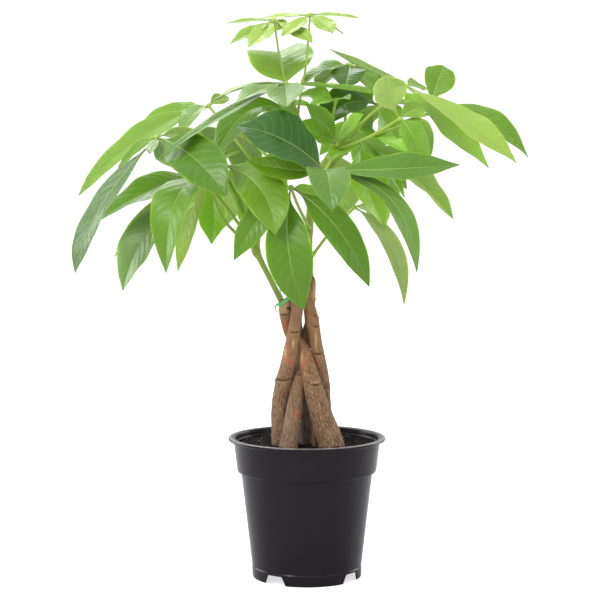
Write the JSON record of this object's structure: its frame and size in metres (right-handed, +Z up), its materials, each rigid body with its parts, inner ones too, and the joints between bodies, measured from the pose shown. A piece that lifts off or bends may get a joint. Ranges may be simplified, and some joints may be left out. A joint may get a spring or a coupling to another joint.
{
  "type": "potted money tree",
  "caption": "Potted money tree: braided trunks in a black plastic nursery pot, with stalked fans of long green leaflets.",
  "frame": {"origin": "on the floor under the middle of the pot, on the pot's upright axis", "axes": "+Z up along the pot's axis, -Y towards the front of the plant, +X to the plant's right as seen from the front"},
  "size_m": [0.4243, 0.2989, 0.5338],
  "materials": {
    "pot_plastic": "satin black, thin moulded plastic",
    "potting_soil": "dark crumbly potting mix with pale bits",
    "bark": "rough brown bark with fine cracks",
    "leaf": "glossy green upper side, paler underside, light veins",
    "young_leaf": "light yellow-green, satin",
    "tie_tape": "thin green grafting tape"
  },
  "bodies": {
    "root": {"pot": "pot_plastic", "soil": "potting_soil", "trunk_1": "bark", "trunk_2": "bark", "trunk_3": "bark", "trunk_4": "bark", "trunk_5": "bark", "shoot_left": "leaf", "shoot_middle": "young_leaf", "shoot_right": "leaf", "shoot_back_left": "leaf", "shoot_back_right": "leaf", "tie": "tie_tape"}
  },
  "joints": []
}
